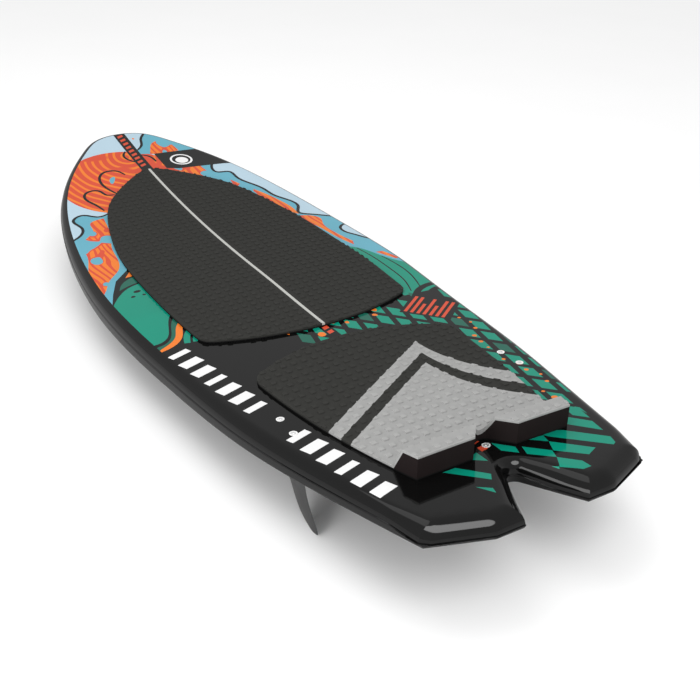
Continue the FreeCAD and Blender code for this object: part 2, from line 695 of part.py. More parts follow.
nodes["front_pad_base"] = boolean("Common", "front_base", base_sheet, front_plan)
front_top = boolean("Common", "front_top", top_sheet, front_plan)
stripe_stock = doc.addObject("Part::Box", "stripe_stock")
stripe_stock.setExpression("Length", "Sheet.stripe_width")
stripe_stock.setExpression("Width", "Sheet.board_length")
stripe_stock.Height = 3 * BEYOND
stripe_stock.Placement.Base = Vector(-size("stripe_width") / 2, TAIL_END, -BEYOND)
left_stock = doc.addObject("Part::Box", "left_stock")
left_stock.setExpression("Length", "Sheet.board_width")
left_stock.setExpression("Width", "Sheet.board_length")
left_stock.Height = 3 * BEYOND
left_stock.Placement.Base = Vector(-size("board_width") - size("stripe_width") / 2, TAIL_END, -BEYOND)
nodes["front_pad_stripe"] = boolean("Common", "front_stripe", front_top, stripe_stock)
nodes["front_pad_left"] = boolean("Common", "front_left", front_top, left_stock)
without_left = boolean("Cut", "front_without_left", front_top, left_stock)
nodes["front_pad_right"] = boolean("Cut", "front_right", without_left, stripe_stock)

nodes["rear_pad_base"] = boolean("Common", "rear_base", base_sheet, rear_plan)
rear_top = boolean("Common", "rear_top", top_sheet, rear_plan)
shift = size("chevron_apex_shift")
light_back = size("light_stripe_width")
dark_back = light_back + size("dark_stripe_width")
behind_light = feature("behind_light", behind_chevron(0, 0))
behind_dark = feature("behind_dark", behind_chevron(light_back, shift))
behind_tail = feature("behind_tail", behind_chevron(dark_back, 2 * shift))
nodes["rear_pad_front"] = boolean("Cut", "rear_front", rear_top, behind_light)
from_light = boolean("Common", "from_light", rear_top, behind_light)
from_dark = boolean("Common", "from_dark", rear_top, behind_dark)
nodes["rear_pad_light_stripe"] = boolean("Cut", "light_stripe", from_light, behind_dark)
nodes["rear_pad_dark_stripe"] = boolean("Cut", "dark_stripe", from_dark, behind_tail)

ramp_outside = feature("ramp_outside", behind_ramp(0))
ramp_inside = feature("ramp_inside", behind_ramp(size("pad_top_thickness")))
tail_flat_all = boolean("Common", "tail_flat_all", rear_top, behind_tail)
tail_flat = boolean("Cut", "tail_flat", tail_flat_all, ramp_outside)
kick_full = boolean("Common", "kick_full", feature("kick_sheet", deck_layer(BASE_TOP, KICK_TOP)), rear_plan)
ramp_outer_part = boolean("Common", "ramp_outer_part", kick_full, ramp_outside)
tail_ramp = boolean("Cut", "tail_ramp", ramp_outer_part, ramp_inside)
crest_level = KICK_TOP - size("pad_top_thickness")
crest_sheet = feature("crest_sheet", deck_layer(crest_level, KICK_TOP))
crest_cut = boolean("Common", "crest_cut", crest_sheet, rear_plan)
tail_crest = boolean("Common", "tail_crest", crest_cut, ramp_inside)
nodes["rear_pad_tail"] = union("tail_section", [tail_flat, tail_ramp, tail_crest])
wedge_sheet = feature("wedge_sheet", deck_layer(BASE_TOP, crest_level))
wedge_cut = boolean("Common", "wedge_cut", wedge_sheet, rear_plan)
nodes["kick_block"] = boolean("Common", "wedge", wedge_cut, ramp_inside)

# ---- check and write --------------------------------------------------------

doc.recompute()
for thing in doc.Objects:
    bad = [state for state in thing.State if state in ("Invalid", "Error")]
    if bad:
        raise RuntimeError("%s did not rebuild: %s" % (thing.Name, bad))
os.makedirs("parts", exist_ok=True)
for label, thing in nodes.items():
    thing.Label = label
    if thing.Shape.isNull() or not thing.Shape.isValid() or not thing.Shape.Solids:
        raise RuntimeError("%s has no valid solid" % label)
    thing.Shape.exportStep("parts/%s.step" % label)
    print("%-24s %d solid(s) %12.1f mm3" % (label, len(thing.Shape.Solids), thing.Shape.Volume))
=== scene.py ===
import math
import random

import bmesh
import bpy
import numpy as np
from mathutils import Matrix, Vector
from mathutils.geometry import delaunay_2d_cdt


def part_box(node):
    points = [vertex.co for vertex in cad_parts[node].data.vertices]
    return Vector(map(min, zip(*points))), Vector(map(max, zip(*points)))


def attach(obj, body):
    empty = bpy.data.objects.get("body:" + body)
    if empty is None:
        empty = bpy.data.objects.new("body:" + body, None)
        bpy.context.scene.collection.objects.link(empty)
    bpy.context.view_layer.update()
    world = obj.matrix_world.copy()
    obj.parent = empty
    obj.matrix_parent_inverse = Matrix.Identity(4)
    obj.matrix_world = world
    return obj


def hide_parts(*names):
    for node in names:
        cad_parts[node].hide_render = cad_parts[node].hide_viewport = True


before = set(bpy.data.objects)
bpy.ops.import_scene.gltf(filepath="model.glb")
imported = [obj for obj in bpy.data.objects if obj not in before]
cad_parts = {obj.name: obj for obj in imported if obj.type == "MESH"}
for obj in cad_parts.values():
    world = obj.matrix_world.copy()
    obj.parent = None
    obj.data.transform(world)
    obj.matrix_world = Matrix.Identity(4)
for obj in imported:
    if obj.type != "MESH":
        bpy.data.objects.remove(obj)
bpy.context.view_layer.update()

# A wakesurf board: printed deck skin and bottom skin over a foam core, two traction pads
# with raised squares, a kick block and three screwed fins. Shapes are worked out in
# millimetres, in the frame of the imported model, and become metres in make_piece.
METRE = 1000.0


def corners_mm(node):
    low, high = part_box(node)
    return np.array(low) * METRE, np.array(high) * METRE


# ---- the board's form ----

BOTTOM_LOW, BOTTOM_HIGH = corners_mm("bottom_skin")
HALF = round(BOTTOM_HIGH[1])
HALF_WIDTH = round(BOTTOM_HIGH[0])
BASE = BOTTOM_LOW[2]
MID_THICKNESS, END_THICKNESS = 47.0, 28.0
NOSE_ROCKER, TAIL_ROCKER, FLAT_HALF = 79.0, 49.0, 60.0
NOSE_POWER, TAIL_POWER, TAPER_POWER = 2.1, 1.8, 1.5
DECK_CROWN = 6.7
SKIN = 1.5
ROUND_WIDTH = 18.0          # how far in from the rail the deck starts to roll over
TAIL_ROUND_WIDTH = 27.0     # and at the tail, where the roll-over also runs lower
WAIST = 0.9                 # the hollow above the parting line
PARTING_SHARE, TAIL_PARTING_SHARE = 0.36, 0.16
ART_INSET = 14.0            # the print stops this far from the rail
TUCK = 0.9                  # how far the bottom's side leans in below the parting line
BOTTOM_ROUND = 3.0
PAD_BASE, PAD_TOP = 2.0, 3.0
KICK_TOP = 33.0

# Fullness of the outline: share of the length from the nose, share of half the width.
FULLNESS = [
    (0.012, 0.236), (0.035, 0.360), (0.070, 0.502), (0.130, 0.688), (0.220, 0.852),
    (0.340, 0.962), (0.480, 1.000), (0.620, 0.951), (0.760, 0.873), (0.880, 0.745),
]
TAIL_CORNER = (165.0, -HALF + 32.0)
TAIL_OUTER = (87.0, -HALF)
TAIL_INNER = (47.0, -HALF)
NOTCH_TIP_Y = -HALF + 105.0
NOTCH_RADIUS = 12.0


def rocker(y):
    share = np.maximum(np.abs(y) - FLAT_HALF, 0.0) / (HALF - FLAT_HALF)
    share = np.minimum(share, 1.0)
    return np.where(y < 0, TAIL_ROCKER * share ** TAIL_POWER, NOSE_ROCKER * share ** NOSE_POWER)


def thickness(y):
    return MID_THICKNESS - (MID_THICKNESS - END_THICKNESS) * np.minimum(np.abs(y) / HALF, 1.0) ** TAPER_POWER


def bottom_height(y):
    return BASE + rocker(y)


def deck_height(x, y):
    return bottom_height(y) + thickness(y) - DECK_CROWN * (x / HALF_WIDTH) ** 2


# ---- plan curves ----

def smooth(points, step=5.0):
    """Points along a natural cubic spline through the given ones."""
    knots = np.array(points, float)
    if len(knots) == 2:
        return [tuple(p) for p in knots]
    run = np.concatenate([[0], np.cumsum(np.hypot(*np.diff(knots, axis=0).T))])
    gap = np.diff(run)
    count = len(knots)
    system = np.zeros((count, count))
    wanted = np.zeros((count, 2))
    system[0, 0] = system[-1, -1] = 1
    for i in range(1, count - 1):
        system[i, i - 1:i + 2] = gap[i - 1], 2 * (gap[i - 1] + gap[i]), gap[i]
        wanted[i] = 6 * ((knots[i + 1] - knots[i]) / gap[i] - (knots[i] - knots[i - 1]) / gap[i - 1])
    bend = np.linalg.solve(system, wanted)
    out = []
    for i in range(count - 1):
        pieces = max(1, int(math.ceil(gap[i] / step)))
        for t in np.arange(pieces) / pieces * gap[i]:
            back = gap[i] - t
            out.append(tuple(
                bend[i] * back ** 3 / (6 * gap[i]) + bend[i + 1] * t ** 3 / (6 * gap[i])
                + (knots[i] / gap[i] - bend[i] * gap[i] / 6) * back
                + (knots[i + 1] / gap[i] - bend[i + 1] * gap[i] / 6) * t))
    out.append(tuple(knots[-1]))
    return out


def arc(start, through, end, count=16):
    """Points on the arc from start through a middle point to end."""
    (ax, ay), (bx, by), (cx, cy) = start, through, end
    d = 2 * (ax * (by - cy) + bx * (cy - ay) + cx * (ay - by))
    sa, sb, sc = ax * ax + ay * ay, bx * bx + by * by, cx * cx + cy * cy
    ox = (sa * (by - cy) + sb * (cy - ay) + sc * (ay - by)) / d
    oy = (sa * (cx - bx) + sb * (ax - cx) + sc * (bx - ax)) / d
    first = math.atan2(ay - oy, ax - ox)
    turn_mid = (math.atan2(by - oy, bx - ox) - first) % math.tau
    turn = (math.atan2(cy - oy, cx - ox) - first) % math.tau
    if turn_mid > turn:
        turn -= math.tau
    radius = math.hypot(ax - ox, ay - oy)
    bearings = [first + turn * k / count for k in range(count + 1)]
    return [(ox + radius * math.cos(t), oy + radius * math.sin(t)) for t in bearings]


def flipped(points):
    return [(-x, y) for x, y in reversed(points)]


def round_corner(points, corner, radius):
    """A closed outline with one corner replaced by a short curve."""
    at = min(range(len(points)), key=lambda i: math.dist(points[i], corner))
    away = [i for i in range(len(points)) if math.dist(points[i], corner) > radius]
    before = max((i for i in away), key=lambda i: -((at - i) % len(points)))
    after = min((i for i in away), key=lambda i: (i - at) % len(points))
    a, c, b = (np.array(points[i]) for i in (before, at, after))
    curve = [tuple((1 - t) ** 2 * a + 2 * t * (1 - t) * c + t * t * b) for t in np.linspace(0, 1, 7)]
    kept = []
    i = (after + 1) % len(points)
    while i != before:
        kept.append(points[i])
        i = (i + 1) % len(points)
    return curve + kept


def round_corners(points, corner, radius):
    """The same for a corner and its mirror image."""
    return round_corner(round_corner(points, corner, radius), (-corner[0], corner[1]), radius)


def dense(points, step=8.0, closed=True):
    """The same outline or line, with its long straight stretches divided."""
    ends = points[1:] + points[:1] if closed else points[1:]
    out = []
    for a, b in zip(points, ends):
        pieces = max(1, math.ceil(math.dist(a, b) / step))
        out += [(a[0] + (b[0] - a[0]) * k / pieces, a[1] + (b[1] - a[1]) * k / pieces) for k in range(pieces)]
    return out if closed else out + [points[-1]]


def inset(points, distance):
    """A closed outline drawn in, with mitred corners. The outline runs anticlockwise."""
    p = np.array(points)
    ahead = np.roll(p, -1, axis=0) - p
    ahead /= np.hypot(*ahead.T)[:, None]
    normal = np.stack([-ahead[:, 1], ahead[:, 0]], axis=1)
    before = np.roll(normal, 1, axis=0)
    share = 1 + (normal * before).sum(axis=1)
    return [tuple(q) for q in p + (normal + before) / share[:, None] * distance]


def board_outline():
    side = [TAIL_CORNER]
    side += [(full * HALF_WIDTH, HALF - share * 2 * HALF) for share, full in reversed(FULLNESS)]
    rail = smooth(side + [(0.0, HALF)] + flipped(side), 6.0)
    half_angle = math.atan2(TAIL_INNER[0], NOTCH_TIP_Y - TAIL_INNER[1])
    centre_y = NOTCH_TIP_Y - NOTCH_RADIUS / math.sin(half_angle)
    touch = (NOTCH_RADIUS * math.cos(half_angle), centre_y + NOTCH_RADIUS * math.sin(half_angle))
    notch = arc((-touch[0], touch[1]), (0, centre_y + NOTCH_RADIUS), touch, 12)
    tail = [TAIL_INNER, TAIL_OUTER]
    start, end = np.array((-TAIL_INNER[0], TAIL_INNER[1])), np.array(notch[0])
    sides = [tuple(start * (1 - k / 8) + end * k / 8) for k in range(1, 8)]
    return rail + flipped(tail) + sides + notch + flipped(sides) + tail


OUTLINE = board_outline()


# ---- cutting plan shapes into triangles ----

def extent(loop):
    points = np.array(loop)
    return points.min(axis=0), points.max(axis=0)


def inside(loop, points):
    """Which of the points lie inside a closed outline."""
    low, high = extent(loop)
    result = np.zeros(len(points), bool)
    near = np.flatnonzero(((points > low) & (points < high)).all(axis=1))
    x, y = points[near, 0], points[near, 1]
    odd = np.zeros(len(near), bool)
    for (ax, ay), (bx, by) in zip(np.array(loop), np.roll(loop, -1, axis=0)):
        if ay == by:
            continue
        crosses = (ay > y) != (by > y)
        odd ^= crosses & (x < (bx - ax) * (y - ay) / (by - ay) + ax)
    result[near] = odd
    return result


def distance_to(loop, points):
    """Distance from each point to a closed outline."""
    a = np.array(loop)
    b = np.roll(a, -1, axis=0) - a
    length = (b * b).sum(axis=1)
    out = np.empty(len(points))
    for i in range(0, len(points), 1000):
        part = points[i:i + 1000]
        rel = part[:, None] - a[None]
        t = np.clip((rel * b).sum(axis=2) / length, 0, 1)
        gap = rel - t[..., None] * b
        out[i:i + 1000] = np.sqrt((gap * gap).sum(axis=2).min(axis=1))
    return out


def cut_plan(loops, keep, lines=(), dots=()):
    """Corners and triangles of the plan, cut along every loop and line, where keep says so."""
    verts, edges = [], []
    for row, closed in [(loop, True) for loop in loops] + [(line, False) for line in lines]:
        row = dense(row, closed=closed)
        first, count = len(verts), len(row)
        verts += [Vector(p) for p in row]
        edges += [(first + i, first + (i + 1) % count) for i in range(count if closed else count - 1)]
    verts += [Vector(p) for p in dots]
    found = delaunay_2d_cdt(verts, edges, [], 0, 1e-4, False)
    plan = np.array([tuple(v) for v in found[0]])
    faces = np.array([f for f in found[2] if len(f) == 3])
    centres = plan[faces].mean(axis=1)
    flat = np.cross(plan[faces[:, 1]] - plan[faces[:, 0]], plan[faces[:, 2]] - plan[faces[:, 0]])
    faces = faces[keep(centres) & (np.abs(flat) > 1e-6)]
    used = np.unique(faces)
    renumber = np.zeros(len(plan), int)
    renumber[used] = np.arange(len(used))
    return plan[used], renumber[faces]


def grid_dots(low, high, step):
    xs = np.arange(low[0] + step / 2, high[0], step)
    ys = np.arange(low[1] + step / 2, high[1], step)
    dots = []
    for row, y in enumerate(ys):
        dots += [(x + (row % 2) * step / 2, y) for x in xs]
    return dots


def dots_within(ring, step, limit):
    """A grid laid out from a ring's corner, as far as it lies inside a limit."""
    dots = np.array(grid_dots(*extent(ring), step))
    return dots[inside(limit, dots)]


def rim_loops(faces):
    """The closed rows of corners round a set of triangles, each in the triangles' own direction."""
    ahead = {}
    pairs = {(a, b) for f in faces for a, b in zip(f, np.roll(f, -1))}
    for a, b in pairs:
        if (b, a) not in pairs:
            ahead[a] = b
    loops = []
    while ahead:
        start, here = next(iter(ahead.items()))
        loop = [start]
        del ahead[start]
        while here != start:
            loop.append(here)
            here = ahead.pop(here)
        loops.append(loop)
    return loops


def add_object(name, data):
    thing = bpy.data.objects.new(name, data)
    bpy.context.scene.collection.objects.link(thing)
    return thing


def make_piece(name, verts, faces, inks, face_ink, smooth_angle, replaces):
    """A mesh piece from corners in millimetres. inks are its materials."""
    mesh = bpy.data.meshes.new(name)
    corners = [tuple(float(c) / METRE for c in v) for v in verts]
    mesh.from_pydata(corners, [], [tuple(int(i) for i in f) for f in faces])
    for ink in inks:
        mesh.materials.append(ink)
    if face_ink is not None:
        mesh.polygons.foreach_set("material_index", np.array(face_ink, np.int32))
    mesh.validate()
    work = bmesh.new()
    work.from_mesh(mesh)
    bmesh.ops.recalc_face_normals(work, faces=work.faces)
    for face in work.faces:
        face.smooth = True
    for edge in work.edges:
        edge.smooth = len(edge.link_faces) == 2 and edge.calc_face_angle(0) < math.radians(smooth_angle)
    work.to_mesh(mesh)
    work.free()
    piece = add_object(name, mesh)
    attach(piece, "root")
    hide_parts(*replaces)
    return piece


# ---- materials ----

def node(tree, kind, inputs=None, **settings):
    made = tree.nodes.new("ShaderNode" + kind)
    for key, value in settings.items():
        setattr(made, key, value)
    for key, value in (inputs or {}).items():
        if isinstance(value, bpy.types.NodeSocket):
            tree.links.new(value, made.inputs[key])
        else:
            made.inputs[key].default_value = value
    return made


def new_material(name):
    """A material, its node tree, its shader and the place on the object."""
    material = bpy.data.materials.new(name)
    material.use_nodes = True
    tree = material.node_tree
    return material, tree, tree.nodes["Principled BSDF"], node(tree, "TexCoord").outputs["Object"]


def linear(colour):
    """Linear colour from a screen colour written as rrggbb."""
    parts = [int(colour[i:i + 2], 16) / 255 for i in (0, 2, 4)]
    return tuple(c / 12.92 if c <= 0.04045 else ((c + 0.055) / 1.055) ** 2.4 for c in parts) + (1.0,)


def noise(tree, place, scale, detail=2.0, roughness=0.5):
    settings = {"Vector": place, "Scale": scale, "Detail": detail, "Roughness": roughness}
    return node(tree, "TexNoise", settings).outputs["Fac"]


def mix(tree, share, first, second, blend="MIX"):
    made = node(tree, "Mix", data_type="RGBA", blend_type=blend)
    for key, value in ((0, share), (6, first), (7, second)):
        if isinstance(value, bpy.types.NodeSocket):
            tree.links.new(value, made.inputs[key])
        else:
            made.inputs[key].default_value = value
    return made.outputs[2]


def shades(tree, share, low, high):
    """Greys between two brightnesses."""
    return mix(tree, share, (low, low, low, 1), (high, high, high, 1))


def tint(tree, colour, shade):
    return mix(tree, 1.0, colour, shade, "MULTIPLY")


def vary_roughness(tree, shader, value, low, high):
    varied = node(tree, "MapRange", {"Value": value, "To Min": low, "To Max": high})
    tree.links.new(varied.outputs["Result"], shader.inputs["Roughness"])


def ramp(tree, value, low, high):
    """0 below low, 1 above high."""
    return node(tree, "MapRange", {"Value": value, "From Min": low, "From Max": high}).outputs["Result"]


def bump(tree, shader, height, distance, strength=1.0, socket="Normal"):
    made = node(tree, "Bump", {"Height": height, "Distance": distance, "Strength": strength})
    tree.links.new(made.outputs["Normal"], shader.inputs[socket])


def lacquer(tree, shader, place, colour):
    """Printed laminate: matt ink under a clear gloss coat with a faint orange peel."""
    cloud = noise(tree, place, 9.0, 3.0)
    shade = shades(tree, ramp(tree, cloud, 0.3, 0.7), 0.96, 1.04)
    tree.links.new(tint(tree, colour, shade), shader.inputs["Base Color"])
    shader.inputs["Roughness"].default_value = 0.6
    shader.inputs["Specular IOR Level"].default_value = 0.0
    shader.inputs["Coat Weight"].default_value = 0.42
    shader.inputs["Coat Roughness"].default_value = 0.05
    peel = noise(tree, place, 260.0, 2.0)
    bump(tree, shader, peel, 0.000004, 1.0, "Coat Normal")


def ink(name, colour):
    material, tree, shader, place = new_material(name)
    lacquer(tree, shader, place, linear(colour))
    return material


def flow_ink():
    """Coral ink with amber lines that sweep round in bundles."""
    material, tree, shader, place = new_material("ink_flow")
    turned = node(tree, "Mapping", {"Vector": place, "Location": (0.02, -0.42, 0.0),
                                    "Scale": (1.0, 0.7, 0.0)})
    wave = node(tree, "TexWave", {"Vector": turned.outputs["Vector"], "Scale": 20.0, "Distortion": 6.0,
                                  "Detail": 1.0, "Detail Scale": 0.6}, wave_type="RINGS", rings_direction="Z")
    lines = ramp(tree, wave.outputs["Fac"], 0.70, 0.74)
    patch = ramp(tree, noise(tree, place, 10.0, 1.0), 0.36, 0.38)
    share = node(tree, "Math", {0: lines, 1: patch}, operation="MULTIPLY").outputs[0]
    lacquer(tree, shader, place, mix(tree, share, linear(CORAL), linear(AMBER)))
    return material


def marble_ink():
    """Amber ink with coral veins that run along the board and rounded teal islands."""
    material, tree, shader, place = new_material("ink_marble")
    drawn = node(tree, "Mapping", {"Vector": place, "Scale": (1.0, 0.35, 0.0)}).outputs["Vector"]
    wave = node(tree, "TexWave", {"Vector": drawn, "Scale": 26.0, "Distortion": 9.0,
                                  "Detail": 1.0, "Detail Scale": 0.9}, wave_type="BANDS", bands_direction="X")
    veins = ramp(tree, wave.outputs["Fac"], 0.66, 0.70)
    colour = mix(tree, veins, linear(AMBER), linear(CORAL))
    flat = node(tree, "Mapping", {"Vector": place, "Scale": (1.0, 0.75, 0.0)}).outputs["Vector"]
    cells = node(tree, "TexVoronoi", {"Vector": flat, "Scale": 34.0, "Randomness": 0.8},
                 feature="SMOOTH_F1").outputs["Distance"]
    spread = noise(tree, place, 9.0, 0.0)
    reach = node(tree, "Math", {0: spread, 1: 0.17}, operation="SUBTRACT").outputs[0]
    past = node(tree, "Math", {0: cells, 1: reach}, operation="SUBTRACT").outputs[0]
    colour = mix(tree, ramp(tree, past, 0.045, 0.04), colour, linear(CORAL))
    colour = mix(tree, ramp(tree, past, 0.01, 0.0), colour, linear(TEAL))
    lacquer(tree, shader, place, colour)
    return material


def foam(name, colour, grain=1.0):
    """Closed-cell foam: matt, with fine pores, a soft mottle, and lighter where its edges are sharp and
    convex.
    """
    material, tree, shader, place = new_material(name)
    mottle = noise(tree, place, 60.0, 4.0, 0.6)
    pores = node(tree, "TexVoronoi", {"Vector": place, "Scale": 900.0}).outputs["Distance"]
    dark = shades(tree, ramp(tree, mottle, 0.3, 0.7), 0.95, 1.04)
    speck = shades(tree, ramp(tree, pores, 0.0, 0.35), 0.88, 1.0)
    tone = tint(tree, tint(tree, linear(colour), dark), speck)
    # Sharp convex edges are made up to 8 percent lighter, picked out by their pointiness.
    edges = node(tree, "NewGeometry").outputs["Pointiness"]
    edge_lightened = mix(tree, ramp(tree, edges, 0.50, 0.56), tone, (1.08, 1.08, 1.08, 1), "MULTIPLY")
    tree.links.new(edge_lightened, shader.inputs["Base Color"])
    shader.inputs["Specular IOR Level"].default_value = 0.08
    vary_roughness(tree, shader, mottle, 0.78, 0.92)
    bump(tree, shader, pores, 0.00012 * grain, 0.5)
    return material


def plastic(name, colour, rough, fleck=0.05, coat=0.0):
    """Moulded plastic with a fine surface grain and faint flecks."""
    material, tree, shader, place = new_material(name)
    grain = noise(tree, place, 700.0, 3.0, 0.6)
    flow = noise(tree, place, 25.0, 2.0)
    shade = shades(tree, grain, 1 - fleck, 1 + fleck)
    tree.links.new(tint(tree, linear(colour), shade), shader.inputs["Base Color"])
    vary_roughness(tree, shader, flow, rough - 0.06, rough + 0.06)
    shader.inputs["Coat Weight"].default_value = coat
    bump(tree, shader, grain, 0.00003, 0.4)
    return material


def turned_metal(name, colour, rough):
    """Machined metal with fine tool marks and slightly uneven polish."""
    material, tree, shader, place = new_material(name)
    stretched = node(tree, "Mapping", {"Vector": place, "Scale": (90.0, 90.0, 1800.0)}).outputs["Vector"]
    marks = noise(tree, stretched, 1.0, 3.0, 0.6)
    tree.links.new(tint(tree, linear(colour), shades(tree, marks, 0.85, 1.1)), shader.inputs["Base Color"])
    shader.inputs["Metallic"].default_value = 1.0
    vary_roughness(tree, shader, marks, rough - 0.08, rough + 0.08)
    bump(tree, shader, marks, 0.00001, 0.5)
    return material


BLACK, SKY, TEAL, CORAL, AMBER = "0a0a0a", "a6bdca", "5a9bad", "c2452a", "d97122"
GREEN, PINE, WHITE = "06806a", "17594a", "dcdcdc"
PLAIN_INKS = {"black": BLACK, "sky": SKY, "teal": TEAL, "coral": CORAL, "amber": AMBER, "green": GREEN,
              "pine": PINE, "white": WHITE}
INKS = {name: ink("ink_" + name, colour) for name, colour in PLAIN_INKS.items()}
INKS.update(flow=flow_ink(), marble=marble_ink())
INK_NUMBER = {name: number for number, name in enumerate(INKS)}


# ---- the deck's print ----

def disc(x, y, radius, count=72):
    return [(x + radius * math.cos(math.tau * k / count), y + radius * math.sin(math.tau * k / count))
            for k in range(count)]


def blob(points, step=4.0):
    """A closed smooth shape through a few points."""
    ring = smooth(points * 3, step)
    passes = [i for i, spot in enumerate(ring) if math.dist(spot, points[0]) < 1e-6]
    return ring[passes[1]:passes[2]]


INK_SPREAD = 1.24           # a stroke comes out this much wider than its stated width


def stroke(points, width, taper=0.35):
    """A line of ink along a smooth curve, narrowing a little towards its ends."""
    path = np.array(smooth(points, 4.0))
    along = np.gradient(path, axis=0)
    along /= np.hypot(*along.T)[:, None]
    side = np.stack([-along[:, 1], along[:, 0]], axis=1)
    share = np.linspace(-1, 1, len(path))
    half = INK_SPREAD / 2 * width * (1 - taper * share ** 4)
    left = path + side * half[:, None]
    right = path - side * half[:, None]
    return [tuple(p) for p in right] + [tuple(p) for p in left[::-1]]


def bar(x, y, across, along, lean):
    """A slanted bar: centre, its two side lengths and the direction of its long side."""
    u = (math.cos(lean) * across / 2, math.sin(lean) * across / 2)
    v = (0.18 * along, -0.5 * along)
    return [(x - u[0] - v[0], y - u[1] - v[1]), (x - u[0] + v[0], y - u[1] + v[1]),
            (x + u[0] + v[0], y + u[1] + v[1]), (x + u[0] - v[0], y + u[1] - v[1])]


